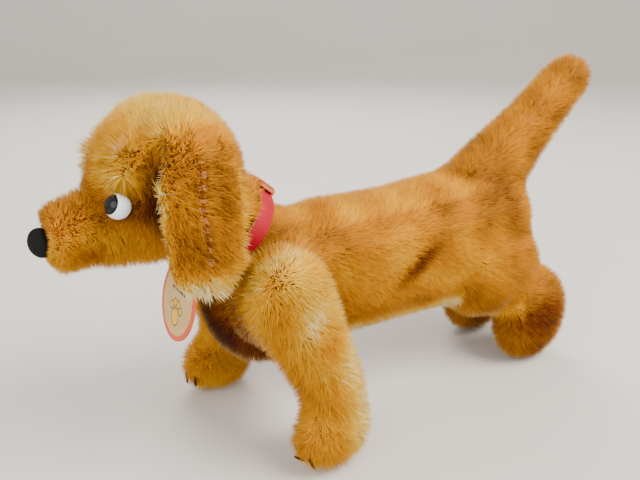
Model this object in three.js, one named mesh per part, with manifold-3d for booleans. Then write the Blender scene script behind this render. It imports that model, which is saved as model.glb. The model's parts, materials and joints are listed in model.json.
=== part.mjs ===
// A jointed mohair plush dachshund, standing, as its maker would cut it:
// sewn plush panels over firm stuffing, with disc joints at the neck and shoulders.
// Millimetres, +Z up. The dog faces -Y and its left side is +X.
// While it is built, y = 0 lies midway between the front feet and z = 0 is the ground.

import * as THREE from 'three';
import { mergeVertices } from 'three/addons/utils/BufferGeometryUtils.js';
import Module from 'manifold-3d';

const wasm = await Module();
wasm.setup();

// ---------------------------------------------------------------- driving dimensions

const PLUSH = 3;          // thickness of a plush panel, backing and pile
const SEAM = 0.3;         // gap between two sewn panels
const CLEAR = 0.4;        // gap between pieces that turn on each other
const PACKING = 0.4;      // gap between the stuffing and what it fills

const TRUNK_HALF_WIDTH = 20.5;
const TRUNK_HALF_HEIGHT = 25.7;
const TRUNK_FRONT = -22.5;
const TRUNK_REAR = 121;
const BACK_HEIGHT = 81.5;
const BELLY_PANEL_HALF_WIDTH = 14.5;
const BELLY_PANEL_TOP = 40;

const TAIL_BASE = { y: 92, z: 70 };
const TAIL_TIP = { y: 144, z: 115.5 };
const TAIL_BASE_HALF_WIDTH = 15;
const TAIL_BASE_HALF_HEIGHT = 19;
const TAIL_TIP_RADIUS = 10.5;

const HIND_FOOT = { x: 16, y: 117.5 };
const HIND_FOOT_HALF = { x: 12, y: 19.5, z: 22.5 };
const THIGH_HALF = { x: 13, y: 27, z: 21 };
const SOLE_CUT = 2;       // how much of a round hind foot the ground flattens

const NECK = { y: -10.5, z: 79.3 };      // centre of the neck ring, near the collar
const NECK_TILT = THREE.MathUtils.degToRad(40);     // of the neck axis above level
const NECK_RADIUS = 12;
const NECK_ROOT_RADIUS = 19;
const NECK_END = 2.8;     // from the ring's centre to the body's neck face

const COLLAR_WIDTH = 5;
const COLLAR_THICKNESS = 1.1;
const COLLAR_SLACK = 1.4; // between the collar and the neck
const COLLAR_SET_BACK = 1.5;    // the collar's middle behind the ring's centre
const KEEPER_LENGTH = 5.5;
const KEEPER_WALL = 0.7;
const KEEPER_SLACK = 0.35;

const LEG_LENGTH = 49;    // shoulder axis to the middle of the paw
const SHOULDER = { y: -5, z: LEG_LENGTH + 12.2 };
const SHOULDER_SEAT = TRUNK_HALF_WIDTH - 1.5;      // half-width across the two flat shoulder seats
const SHOULDER_SEAT_RADIUS = 31;
const LEG_HALF_THICKNESS = 10;
const LEG_SHOULDER_RADIUS = 16;
const LEG_ANKLE_RADIUS = 12.6;
const PAW_HALF = { x: 10.5, y: 15.5, z: 14 };
const PAW_FORWARD = 7;    // the paw's middle in front of the leg's centre line
const PAW_SPLAY = 5;      // the paw's middle outside the shoulder's
const LEFT_LEG_BACK = THREE.MathUtils.degToRad(22);
const RIGHT_LEG_BACK = THREE.MathUtils.degToRad(8);

const SKULL = { y: -31, z: 97 };
const SKULL_HALF = { x: 22, y: 24, z: 25.5 };
const BROW = { x: 8.5, y: -42.5, z: 105 };
const BROW_RADIUS = 10;
const MUZZLE_ROOT = { y: -38, z: 87.3 };
const MUZZLE_TIP = { y: -60.5, z: 83.5 };
const MUZZLE_ROOT_HALF = { x: 14, z: 17 };
const MUZZLE_TIP_HALF = { x: 8.5, z: 11.2 };
const MUZZLE_ROUNDING = 7.5;
const GUSSET_HALF_WIDTH = 8.5;
const GUSSET_FLOOR = 88;

const NOSE = { y: -67, z: 84.6 };
const NOSE_HALF = { x: 4.2, y: 4.2, z: 4.8 };
const EYE = { x: 13.9, y: -50.3, z: 94.4 };
const EYE_FACING = new THREE.Vector3(0.86, -0.45, 0.18).normalize();
const EYE_RADIUS = 3.9;
const EYE_DOME = 2.6;
const EYE_BACK = 0.9;
const SHANK_RADIUS = 0.45;
const SHANK_LENGTH = 9;

const EAR_TOP = { x: 20.6, y: -31, z: 114 };
const EAR_TIP = { x: 27.6, y: -31, z: 78 };
const EAR_HALF_WIDTH = 13;
const EAR_HALF_THICKNESS = 2.6;

const DISC_THICKNESS = 1.5;
const NECK_DISC_RADIUS = 8;
const SHOULDER_DISC_RADIUS = 7;
const WASHER_RADIUS = 3.6;
const WASHER_THICKNESS = 0.6;
const PIN_RADIUS = 0.8;
const PIN_HOLE_RADIUS = 1.3;
const PIN_EYE_RADIUS = 2;

const TAG_HOLE = { x: 0, y: -28, z: 65.8 };
const TAG_RADIUS = 13;
const TAG_THICKNESS = 0.7;
const TAG_LEAN = THREE.MathUtils.degToRad(14);
const TAG_HOLE_RADIUS = 1.4;
const TAG_HOLE_INSET = 3.2;
const THREAD_RADIUS = 0.4;

const CLAW_RADIUS = 0.8;
const CLAW_LENGTH = 5;
const CLAW_SLOPE = THREE.MathUtils.degToRad(10);   // below the front of the paw
const CLAW_SPACING = 4.6;

const SIDES = 14;         // facets round a visible section
const FOOT_SIDES = 16;    // a multiple of four, so that a foot has a lowest point
const HIDDEN_SIDES = 8;   // facets round an inside wall or the stuffing
const FAR = 400;          // larger than the dog, for cutting blocks

// ---------------------------------------------------------------- directions

const ACROSS = new THREE.Vector3(1, 0, 0);
const ALONG = new THREE.Vector3(0, 1, 0);
const UP = new THREE.Vector3(0, 0, 1);
const NECK_AXIS = new THREE.Vector3(0, -Math.cos(NECK_TILT), Math.sin(NECK_TILT));
const NECK_CENTRE = new THREE.Vector3(0, NECK.y, NECK.z);

// ---------------------------------------------------------------- finishes

function finish(color, roughness = 0.9, metalness = 0) {
  return new THREE.MeshStandardMaterial({ color, roughness, metalness });
}

const MOHAIR = finish(0xc98a32);
const MOHAIR_BROWN = finish(0xa96a22);
const MOHAIR_PALE = finish(0xe0bd83);
const WOOD_WOOL = finish(0xd9c69a);
const FIBREBOARD = finish(0x8b6b45, 0.8);
const STEEL = finish(0xa9acae, 0.35, 1);
const LEATHERETTE = finish(0xc42a41, 0.5);
const GLASS_EYE = finish(0xf3f1ec, 0.08);
const NOSE_THREAD = finish(0x14120f, 0.6);
const TAG_CARD = finish(0xe6cf9a, 0.6);
const COTTON = finish(0xe9dcc0, 0.8);

// ---------------------------------------------------------------- solids

function windingVolume(position, index) {
  const corner = [0, 1, 2].map(() => new THREE.Vector3());
  let sum = 0;
  for (let i = 0; i < index.count; i += 3) {
    corner.forEach((c, k) => c.fromBufferAttribute(position, index.getX(i + k)));
    sum += corner[0].dot(corner[1].cross(corner[2]));
  }
  return sum / 6;
}

function solid(geometry) {
  const plain = geometry.clone();
  plain.deleteAttribute('normal');
  plain.deleteAttribute('uv');
  const merged = mergeVertices(plain, 1e-4);
  const triangles = Uint32Array.from(merged.index.array);
  if (windingVolume(merged.attributes.position, merged.index) < 0) triangles.reverse();
  return new wasm.Manifold(new wasm.Mesh({
    numProp: 3,
    vertProperties: Float32Array.from(merged.attributes.position.array),
    triVerts: triangles,
  }));
}

function geometryOf(body) {
  const mesh = body.getMesh();
  const geometry = new THREE.BufferGeometry();
  geometry.setAttribute('position', new THREE.BufferAttribute(mesh.vertProperties, 3));
  geometry.setIndex(new THREE.BufferAttribute(mesh.triVerts, 1));
  geometry.computeVertexNormals();
  return geometry;
}

function mirrored(body) {
  return solid(geometryOf(body).scale(-1, 1, 1));
}

function joined(...bodies) {
  return bodies.reduce((whole, next) => whole.add(next));
}

function block(x0, x1, y0, y1, z0, z1) {
  const box = new THREE.BoxGeometry(x1 - x0, y1 - y0, z1 - z0);
  return solid(box.translate((x0 + x1) / 2, (y0 + y1) / 2, (z0 + z1) / 2));
}

function turnTo(direction) {
  return new THREE.Quaternion().setFromUnitVectors(ALONG, direction);
}

// A round bar that runs from one distance to another along a direction from a point.
function bar(origin, direction, from, to, radius, sides = 16) {
  const cylinder = new THREE.CylinderGeometry(radius, radius, to - from, sides);
  cylinder.translate(0, (from + to) / 2, 0);
  cylinder.applyQuaternion(turnTo(direction));
  return solid(cylinder.translate(origin.x, origin.y, origin.z));
}

function ball(centre, half, inset = 0, visibleSides = SIDES) {
  const sides = inset ? HIDDEN_SIDES : visibleSides;
  const sphere = new THREE.SphereGeometry(1, sides, sides / 2);
  sphere.scale(half.x - inset, half.y - inset, half.z - inset);
  return solid(sphere.translate(centre.x ?? 0, centre.y, centre.z));
}

// A loft through oval rings. The first and last rings may be points.
// Where `half` is 1 or -1, only that half of each oval is filled.
function loft(rings, sides = SIDES, squareness = 0, half = 0) {
  const geometry = new THREE.SphereGeometry(1, sides, rings.length - 1);
  const position = geometry.attributes.position;
  rings.forEach((ring, row) => {
    for (let column = 0; column <= sides; column++) {
      const angle = (2 * Math.PI * column) / sides;
      const swell = 1 + squareness * Math.sin(2 * angle) ** 2;
      const rise = half ? half * Math.max(0, half * Math.sin(angle)) : Math.sin(angle);
      const point = ring.at.clone()
        .addScaledVector(ring.side, ring.w * swell * Math.cos(angle))
        .addScaledVector(ring.up, ring.h * swell * rise + half * SEAM / 2);
      position.setXYZ(row * (sides + 1) + column, point.x, point.y, point.z);
    }
  });
  return solid(geometry);
}

// A soft limb through stations [x, y, z, half-width, half-height], with rounded ends.
// The half-width lies along `side`, and the half-height square to it and to the limb.
function limb(stations, options) {
  const { side = ACROSS, caps, inset = 0, rows = 8, sides = SIDES, squareness, half } = options;
  const capRows = inset ? 2 : 3;
  const runRows = inset ? Math.ceil(rows * 0.5) : rows;
  const spine = new THREE.CatmullRomCurve3(stations.map(s => new THREE.Vector3(s[0], s[1], s[2])));
  const sizes = new THREE.CatmullRomCurve3(stations.map(s => new THREE.Vector3(s[3], s[4], 0)));
  const rings = [];
  const addRing = (t, shift, share) => {
    const tangent = spine.getTangent(t);
    const size = sizes.getPoint(t);
    const across = side.clone().addScaledVector(tangent, -side.dot(tangent)).normalize();
    rings.push({
      at: spine.getPoint(t).addScaledVector(tangent, shift),
      side: across,
      up: new THREE.Vector3().crossVectors(tangent, across),
      w: (size.x - inset) * share,
      h: (size.y - inset) * share,
    });
  };
  for (let k = 0; k < capRows; k++) {
    const angle = (k / capRows) * (Math.PI / 2);
    addRing(0, -(caps[0] - inset) * Math.cos(angle), Math.sin(angle));
  }
  for (let k = 0; k <= runRows; k++) addRing(k / runRows, 0, 1);
  for (let k = capRows - 1; k >= 0; k--) {
    const angle = (k / capRows) * (Math.PI / 2);
    addRing(1, (caps[1] - inset) * Math.cos(angle), Math.sin(angle));
  }
  return loft(rings, inset ? HIDDEN_SIDES : sides, squareness, half);
}

function neckPoint(along) {
  return NECK_CENTRE.clone().addScaledVector(NECK_AXIS, along);
}

// Everything on the head's side, or on the body's side, of a plane across the neck.
function neckBlock(from, to) {
  return bar(NECK_CENTRE, NECK_AXIS, from, to, FAR, 8);
}

// ---------------------------------------------------------------- body forms

function trunkForm(inset) {
  const front = 16.5;
  const rear = 16;
  const middle = BACK_HEIGHT - TRUNK_HALF_HEIGHT;
  return limb([
    [0, TRUNK_FRONT + front, middle - 5.5, TRUNK_HALF_WIDTH - 1, TRUNK_HALF_HEIGHT - 3],
    [0, 20, middle, TRUNK_HALF_WIDTH, TRUNK_HALF_HEIGHT],
    [0, 48, middle, TRUNK_HALF_WIDTH, TRUNK_HALF_HEIGHT - 0.5],
    [0, 78, middle + 1, TRUNK_HALF_WIDTH + 1, TRUNK_HALF_HEIGHT + 1],
    [0, TRUNK_REAR - rear, middle + 4, TRUNK_HALF_WIDTH - 0.5, TRUNK_HALF_HEIGHT - 1],
  ], { caps: [front, rear], inset, rows: 7, squareness: 0.08 });
}

function neckForm(inset) {
  const root = neckPoint(-26);
  const end = neckPoint(NECK_END + 12);
  const back = neckPoint(-COLLAR_SET_BACK - COLLAR_WIDTH);
  return limb([
    [0, root.y, root.z, NECK_ROOT_RADIUS, NECK_ROOT_RADIUS],
    [0, back.y, back.z, NECK_RADIUS, NECK_RADIUS],
    [0, NECK.y, NECK.z, NECK_RADIUS, NECK_RADIUS],
    [0, end.y, end.z, NECK_RADIUS, NECK_RADIUS],
  ], { caps: [8, 6], inset, rows: 4 });
}

function tailForm(inset) {
  const rise = t => ({
    y: THREE.MathUtils.lerp(TAIL_BASE.y, TAIL_TIP.y, t),
    z: THREE.MathUtils.lerp(TAIL_BASE.z, TAIL_TIP.z, t),
  });
  const quarter = rise(0.28);
  const middle = rise(0.62);
  return limb([
    [0, TAIL_BASE.y, TAIL_BASE.z, TAIL_BASE_HALF_WIDTH, TAIL_BASE_HALF_HEIGHT],
    [0, quarter.y, quarter.z, TAIL_BASE_HALF_WIDTH - 2, TAIL_BASE_HALF_HEIGHT - 2.5],
    [0, middle.y, middle.z, TAIL_BASE_HALF_WIDTH - 4, TAIL_BASE_HALF_HEIGHT - 6.5],
    [0, TAIL_TIP.y, TAIL_TIP.z, TAIL_TIP_RADIUS, TAIL_TIP_RADIUS],
  ], { caps: [10, TAIL_TIP_RADIUS - 0.5], inset, rows: 5, sides: 12 });
}

function hindLegForm(side, inset) {
  const foot = { x: side * HIND_FOOT.x, y: HIND_FOOT.y, z: HIND_FOOT_HALF.z - SOLE_CUT };
  const thigh = { x: side * (HIND_FOOT.x - 4), y: HIND_FOOT.y - 22, z: 44 };
  return ball(foot, HIND_FOOT_HALF, inset, FOOT_SIDES).add(ball(thigh, THIGH_HALF, inset, 12));
}

function bodyForm(inset) {
  return joined(
    trunkForm(inset).subtract(collarRoom(inset)), neckForm(inset), tailForm(inset),
    hindLegForm(1, inset), hindLegForm(-1, inset),
  )
    .subtract(neckBlock(NECK_END - inset, FAR))
    .subtract(block(-FAR, FAR, -FAR, FAR, -FAR, inset))
    .subtract(shoulderSeat(1, inset))
    .subtract(shoulderSeat(-1, inset));
}

// The room that the turning collar needs round the neck.
function collarRoom(inset) {
  const radius = NECK_RADIUS + COLLAR_SLACK + COLLAR_THICKNESS + 2 * KEEPER_WALL;
  const back = COLLAR_SET_BACK + COLLAR_WIDTH / 2 + KEEPER_WALL + 3 * KEEPER_SLACK;
  return bar(NECK_CENTRE, NECK_AXIS, -back - inset, FAR, radius + inset, 24);
}

function shoulderSeat(side, inset) {
  const centre = new THREE.Vector3(0, SHOULDER.y, SHOULDER.z);
  const outward = ACROSS.clone().multiplyScalar(side);
  return bar(centre, outward, SHOULDER_SEAT - inset, FAR, SHOULDER_SEAT_RADIUS, 24);
}

// The belly panel's share of the body: the under strip and the insides of the hind legs.
function bellyShare(margin) {
  const half = BELLY_PANEL_HALF_WIDTH + margin;
  return block(-half, half, -FAR, FAR, -FAR, BELLY_PANEL_TOP + margin);
}

function sideShare(side) {
  return side > 0
    ? block(SEAM / 2, FAR, -FAR, FAR, -FAR, FAR)
    : block(-FAR, -SEAM / 2, -FAR, FAR, -FAR, FAR);
}

// ---------------------------------------------------------------- head forms

function headForm(inset) {
  const neckRoot = neckPoint(NECK_END);
  const neckTop = neckPoint(20);
  const muzzle = t => [
    0,
    THREE.MathUtils.lerp(MUZZLE_ROOT.y, MUZZLE_TIP.y, t),
    THREE.MathUtils.lerp(MUZZLE_ROOT.z, MUZZLE_TIP.z, t),
    THREE.MathUtils.lerp(MUZZLE_ROOT_HALF.x, MUZZLE_TIP_HALF.x, t),
    THREE.MathUtils.lerp(MUZZLE_ROOT_HALF.z, MUZZLE_TIP_HALF.z, t),
  ];
  const brow = { x: BROW_RADIUS, y: BROW_RADIUS, z: BROW_RADIUS };
  return joined(
    ball(SKULL, SKULL_HALF, inset),
    ball(BROW, brow, inset, 10),
    ball({ ...BROW, x: -BROW.x }, brow, inset, 10),
    limb([muzzle(0), muzzle(0.5), muzzle(1)], {
      caps: [8, MUZZLE_ROUNDING], inset, rows: 3, sides: 12,
    }),
    limb([
      [0, neckRoot.y, neckRoot.z, NECK_RADIUS, NECK_RADIUS],
      [0, neckTop.y, neckTop.z, NECK_RADIUS + 8, NECK_RADIUS + 8],
    ], { caps: [5, 8], inset, rows: 3 }),
  )
    .subtract(neckBlock(-FAR, NECK_END + CLEAR + inset));
}

function gussetShare(margin) {
  const half = GUSSET_HALF_WIDTH + margin;
  return block(-half, half, -FAR, FAR, GUSSET_FLOOR - margin, FAR);
}

// ---------------------------------------------------------------- eyes and nose

function eyeCentre(side) {
  return new THREE.Vector3(side * EYE.x, EYE.y, EYE.z);
}

function eyeFacing(side) {
  return new THREE.Vector3(side * EYE_FACING.x, EYE_FACING.y, EYE_FACING.z);
}

// A turned eye: a domed front on a flat back, on the line that the eye faces along.
function eyeForm(side, margin) {
  const radius = EYE_RADIUS + margin;
  const height = EYE_DOME + margin;
  const back = -EYE_BACK - margin;
  const profile = [new THREE.Vector2(0, back), new THREE.Vector2(radius, back)];
  const steps = 5;
  for (let k = 0; k < steps; k++) {
    const angle = (k / steps) * (Math.PI / 2);
    profile.push(new THREE.Vector2(radius * Math.cos(angle), height * Math.sin(angle)));
  }
  profile.push(new THREE.Vector2(0, height));
  const dome = new THREE.LatheGeometry(profile, 16);
  dome.applyQuaternion(turnTo(eyeFacing(side)));
  const centre = eyeCentre(side);
  return solid(dome.translate(centre.x, centre.y, centre.z));
}

function eyeShank(side, margin) {
  const near = -EYE_BACK - CLEAR + margin;
  const far = near - SHANK_LENGTH - 2 * margin;
  return bar(eyeCentre(side), eyeFacing(side), far, near, SHANK_RADIUS + margin, 8);
}

function noseForm(margin) {
  const half = { x: NOSE_HALF.x + margin, y: NOSE_HALF.y + margin, z: NOSE_HALF.z + margin };
  return ball(NOSE, half, 0, 12);
}

// ---------------------------------------------------------------- disc joints

// The pieces of one disc joint, along an axis from the middle of the gap between two walls.
function discJoint(origin, axis, wall, discRadius) {
  const face = CLEAR / 2 + wall + PACKING;
  const behindDisc = face + DISC_THICKNESS + CLEAR;
  const behindWasher = behindDisc + WASHER_THICKNESS + CLEAR;
  const hole = bar(origin, axis, -behindWasher, behindWasher, PIN_HOLE_RADIUS, 8);
  const plate = (from, thickness, radius) =>
    bar(origin, axis, from, from + thickness, radius, 16).subtract(hole);
  const eyeAt = sign => {
    const ring = new THREE.TorusGeometry(PIN_EYE_RADIUS, PIN_RADIUS * 0.8, 5, 8);
    const centre = origin.clone().addScaledVector(axis, sign * (behindWasher + PIN_EYE_RADIUS + PIN_RADIUS));
    const turn = new THREE.Quaternion().setFromUnitVectors(ACROSS, axis);
    return solid(ring.applyQuaternion(turn).translate(centre.x, centre.y, centre.z));
  };
  const reach = behindWasher + PIN_EYE_RADIUS / 2;
  return {
    fixedDisc: plate(-face - DISC_THICKNESS, DISC_THICKNESS, discRadius),
    fixedWasher: plate(-behindDisc - WASHER_THICKNESS, WASHER_THICKNESS, WASHER_RADIUS),
    movingDisc: plate(face, DISC_THICKNESS, discRadius),
    movingWasher: plate(behindDisc, WASHER_THICKNESS, WASHER_RADIUS),
    pin: joined(bar(origin, axis, -reach, reach, PIN_RADIUS, 6), eyeAt(1), eyeAt(-1)),
    hole,
    pocket: (sign) => {
      const start = CLEAR / 2 + wall;
      const end = behindWasher + 2 * PIN_EYE_RADIUS + 2 * PIN_RADIUS + PACKING;
      const direction = axis.clone().multiplyScalar(sign);
      return bar(origin, direction, start, end, discRadius + PACKING, 12);
    },
  };
}

const neckJoint = discJoint(neckPoint(NECK_END + CLEAR / 2), NECK_AXIS, PLUSH, NECK_DISC_RADIUS);

// ---------------------------------------------------------------- front legs

// A leg in its own frame: the shoulder axis is x, the seat face lies at x = 0.
function legForm(inset) {
  const shoulderX = LEG_HALF_THICKNESS - 2;
  const pawX = shoulderX + PAW_SPLAY;
  const paw = { x: pawX, y: -PAW_FORWARD, z: -LEG_LENGTH };
  return limb([
    [shoulderX, 0, 1, LEG_HALF_THICKNESS, LEG_SHOULDER_RADIUS],
    [shoulderX + 1, 0, -16, LEG_HALF_THICKNESS, LEG_SHOULDER_RADIUS - 2],
    [pawX - 1.5, 0, -34, LEG_HALF_THICKNESS - 0.5, LEG_ANKLE_RADIUS],
    [pawX, -PAW_FORWARD * 0.7, -LEG_LENGTH, PAW_HALF.x - 0.5, LEG_ANKLE_RADIUS],
  ], { caps: [LEG_SHOULDER_RADIUS - 0.5, 8], inset, rows: 5 })
    .add(ball(paw, PAW_HALF, inset, FOOT_SIDES))
    .subtract(block(-FAR, inset, -FAR, FAR, -FAR, FAR));
}

function legSplit(outer) {
  const seam = LEG_HALF_THICKNESS - 2 + PAW_SPLAY / 2;
  return outer
    ? block(seam + SEAM / 2, FAR, -FAR, FAR, -FAR, FAR)
    : block(-FAR, seam - SEAM / 2, -FAR, FAR, -FAR, FAR);
}

// A stitched claw, a short bar of thread let into the front of the paw.
function clawForm(index, margin) {
  const pawX = LEG_HALF_THICKNESS - 2 + PAW_SPLAY;
  const aside = (index - 1) * CLAW_SPACING;
  const share = Math.sqrt(1 - (aside / PAW_HALF.x) ** 2);
  const low = -CLAW_SLOPE;
  const onPaw = new THREE.Vector3(
    pawX + aside,
    -PAW_FORWARD - PAW_HALF.y * share * Math.cos(low),
    -LEG_LENGTH + PAW_HALF.z * share * Math.sin(low),
  );
  const downward = new THREE.Vector3(0, PAW_HALF.y * Math.sin(low), PAW_HALF.z * Math.cos(low))
    .normalize().negate();
  const half = CLAW_LENGTH / 2 + margin;
  return bar(onPaw, downward, -half, half, CLAW_RADIUS + margin, 6);
}

// ---------------------------------------------------------------- ears

// One layer of the left ear: 1 is the outer piece and -1 the lining that faces the head.
function earLayer(half) {
  const middle = { x: EAR_TIP.x - 1.2, z: (EAR_TOP.z + EAR_TIP.z) / 2 + 3 };
  return limb([
    [EAR_TOP.x, EAR_TOP.y, EAR_TOP.z, EAR_HALF_WIDTH - 4.5, EAR_HALF_THICKNESS - 0.6],
    [middle.x - 1.6, EAR_TOP.y, EAR_TOP.z - 8, EAR_HALF_WIDTH - 2, EAR_HALF_THICKNESS],
    [middle.x, EAR_TIP.y, middle.z, EAR_HALF_WIDTH, EAR_HALF_THICKNESS],
    [EAR_TIP.x, EAR_TIP.y, EAR_TIP.z, EAR_HALF_WIDTH - 1, EAR_HALF_THICKNESS - 0.4],
  ], { side: ALONG, caps: [3, EAR_HALF_WIDTH - 3], rows: 5, half });
}

// ---------------------------------------------------------------- the dog

const dog = new THREE.Group();

function add(parent, name, body, material) {
  const mesh = new THREE.Mesh(geometryOf(body), material);
  mesh.name = name;
  parent.add(mesh);
}

function buildBody() {
  const inside = bodyForm(PLUSH);
  const hardware = joined(
    neckJoint.hole, neckJoint.pocket(-1),
    ...[1, -1].map(side => shoulderJoint(side).hole),
    ...[1, -1].map(side => shoulderJoint(side).pocket(-1)),
  );
  const shell = bodyForm(0).subtract(inside).subtract(hardware);
  const sides = shell.subtract(bellyShare(SEAM));
  add(dog, 'body_side_left', sides.intersect(sideShare(1)), MOHAIR);
  add(dog, 'body_side_right', sides.intersect(sideShare(-1)), MOHAIR);
  add(dog, 'belly_panel', shell.intersect(bellyShare(0)), MOHAIR_PALE);
  add(dog, 'body_stuffing', bodyForm(PLUSH + PACKING).subtract(hardware), WOOD_WOOL);
  add(dog, 'neck_body_disc', neckJoint.fixedDisc, FIBREBOARD);
  add(dog, 'neck_body_washer', neckJoint.fixedWasher, STEEL);
}

function shoulderJoint(side) {
  const outward = ACROSS.clone().multiplyScalar(side);
  const origin = new THREE.Vector3(side * (SHOULDER_SEAT + CLEAR / 2), SHOULDER.y, SHOULDER.z);
  return discJoint(origin, outward, PLUSH, SHOULDER_DISC_RADIUS);
}

function buildHead() {
  const eyes = [1, -1].map(side => eyeForm(side, CLEAR).add(eyeShank(side, CLEAR)));
  const inside = headForm(PLUSH);
  const fittings = joined(neckJoint.hole, neckJoint.pocket(1), noseForm(CLEAR), ...eyes);
  const shell = headForm(0).subtract(inside).subtract(fittings);
  const sides = shell.subtract(gussetShare(SEAM));
  add(dog, 'head_side_left', sides.intersect(sideShare(1)), MOHAIR);
  add(dog, 'head_side_right', sides.intersect(sideShare(-1)), MOHAIR);
  add(dog, 'head_gusset', shell.intersect(gussetShare(0)), MOHAIR_PALE);
  add(dog, 'head_stuffing', headForm(PLUSH + PACKING).subtract(fittings), WOOD_WOOL);
  add(dog, 'neck_head_disc', neckJoint.movingDisc, FIBREBOARD);
  add(dog, 'neck_head_washer', neckJoint.movingWasher, STEEL);
  add(dog, 'neck_cotter_pin', neckJoint.pin, STEEL);
  for (const [word, side] of [['left', 1], ['right', -1]]) {
    add(dog, `eye_${word}`, eyeForm(side, 0), GLASS_EYE);
    add(dog, `eye_shank_${word}`, eyeShank(side, 0), STEEL);
  }
  add(dog, 'nose_stitching', noseForm(0), NOSE_THREAD);
}

function buildEar(word, side) {
  const place = side > 0 ? (b => b) : mirrored;
  add(dog, `ear_${word}_outer`, place(earLayer(1)), MOHAIR);
  add(dog, `ear_${word}_lining`, place(earLayer(-1)), MOHAIR_BROWN);
}

function buildFrontLeg(word, side, swing) {
  const leg = new THREE.Group();
  leg.position.set(side * (SHOULDER_SEAT + CLEAR), SHOULDER.y, SHOULDER.z);
  leg.rotation.x = swing;
  const ground = new THREE.BoxGeometry(FAR, FAR, FAR);
  ground.translate(0, 0, -SHOULDER.z - FAR / 2);
  ground.applyQuaternion(new THREE.Quaternion().setFromAxisAngle(ACROSS, -swing));
  const floor = solid(ground);
  const claws = [0, 1, 2];
  const clawRoom = joined(...claws.map(k => clawForm(k, SEAM)));
  const joint = discJoint(new THREE.Vector3(-CLEAR / 2, 0, 0), ACROSS, PLUSH, SHOULDER_DISC_RADIUS);
  const shell = legForm(0).subtract(legForm(PLUSH)).subtract(floor)
    .subtract(joint.hole).subtract(joint.pocket(1)).subtract(clawRoom);
  const place = side > 0 ? (b => b) : mirrored;
  add(leg, `leg_${word}_outer_panel`, place(shell.intersect(legSplit(true))), MOHAIR);
  add(leg, `leg_${word}_inner_panel`, place(shell.intersect(legSplit(false))), MOHAIR_BROWN);
  add(leg, `leg_${word}_stuffing`,
    place(legForm(PLUSH + PACKING).subtract(joint.pocket(1))), WOOD_WOOL);
  add(leg, `shoulder_${word}_leg_disc`, place(joint.movingDisc), FIBREBOARD);
  add(leg, `shoulder_${word}_leg_washer`, place(joint.movingWasher), STEEL);
  add(leg, `shoulder_${word}_cotter_pin`, place(joint.pin), STEEL);
  for (const k of claws) add(leg, `claw_${word}_${k + 1}`, place(clawForm(k, 0)), NOSE_THREAD);
  dog.add(leg);
  const fixed = shoulderJoint(side);
  add(dog, `shoulder_${word}_body_disc`, fixed.fixedDisc, FIBREBOARD);
  add(dog, `shoulder_${word}_body_washer`, fixed.fixedWasher, STEEL);
}

// Moves a piece made about the origin, with its length along z, onto the neck's axis.
function ontoNeck(geometry, along) {
  const place = neckPoint(along);
  const turn = new THREE.Quaternion().setFromUnitVectors(UP, NECK_AXIS);
  return solid(geometry.applyQuaternion(turn).translate(place.x, place.y, place.z));
}

function collarRing(inner, outer, width) {
  const profile = new THREE.Shape();
  profile.absarc(0, 0, outer, 0, 2 * Math.PI);
  const hole = new THREE.Path();
  hole.absarc(0, 0, inner, 0, 2 * Math.PI, true);
  profile.holes.push(hole);
  const ring = new THREE.ExtrudeGeometry(profile, { depth: width, bevelEnabled: false, curveSegments: 12 });
  return ontoNeck(ring.translate(0, 0, -width / 2), -COLLAR_SET_BACK);
}

// The folded band that holds the strap's end, over the top of the neck.
function keeperBand(middleRadius) {
  const hollow = {
    y: COLLAR_THICKNESS + 2 * KEEPER_SLACK + 0.5,
    z: COLLAR_WIDTH + 2 * KEEPER_SLACK,
  };
  const outer = new THREE.BoxGeometry(KEEPER_LENGTH, hollow.y + 2 * KEEPER_WALL, hollow.z + 2 * KEEPER_WALL);
  const inner = new THREE.BoxGeometry(KEEPER_LENGTH + 2, hollow.y, hollow.z);
  const raise = middleRadius + 0.05;
  return ontoNeck(outer.translate(0, raise, 0), -COLLAR_SET_BACK)
    .subtract(ontoNeck(inner.translate(0, raise, 0), -COLLAR_SET_BACK));
}

// A closed loop of thread: round the strap under the chin, and through the tag's hole.
function threadLoop(middleRadius) {
  const half = COLLAR_WIDTH / 2;
  const inside = middleRadius - COLLAR_THICKNESS / 2 - COLLAR_SLACK / 2;
  const outside = middleRadius + COLLAR_THICKNESS / 2 + 1.5 * THREAD_RADIUS;
  const below = (along, radius) => neckPoint(along - COLLAR_SET_BACK)
    .addScaledVector(ACROSS.clone().cross(NECK_AXIS), radius);
  const byHole = (forward, rise) =>
    new THREE.Vector3(0, TAG_HOLE.y - forward, TAG_HOLE.z + rise);
  const path = new THREE.CatmullRomCurve3([
    below(-half + 0.6, inside),
    below(half - 0.6, inside),
    below(half + 1.2, middleRadius),
    byHole(-1.2, TAG_HOLE_INSET + 1.2),
    byHole(1.6, TAG_HOLE_INSET + 0.6),
    byHole(1.8, 0.6),
    byHole(-1.6, -0.4),
    below(half, outside + 0.3),
    below(-half + 0.4, outside),
    below(-half - 0.9, middleRadius),
  ], true, 'centripetal');
  const loop = new THREE.TubeGeometry(path, 32, THREAD_RADIUS, 6, true);
  return solid(loop.translate(TAG_HOLE.x, 0, 0));
}

function tagCard() {
  const card = new THREE.CylinderGeometry(TAG_RADIUS, TAG_RADIUS, TAG_THICKNESS, 24);
  const hole = new THREE.CylinderGeometry(TAG_HOLE_RADIUS, TAG_HOLE_RADIUS, 4, 8);
  hole.translate(0, 0, TAG_RADIUS - TAG_HOLE_INSET);
  const drop = TAG_RADIUS - TAG_HOLE_INSET;
  const hang = geometry => solid(geometry.translate(0, 0, -drop)
    .rotateX(-TAG_LEAN)
    .translate(TAG_HOLE.x, TAG_HOLE.y, TAG_HOLE.z));
  return hang(card).subtract(hang(hole));
}

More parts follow.
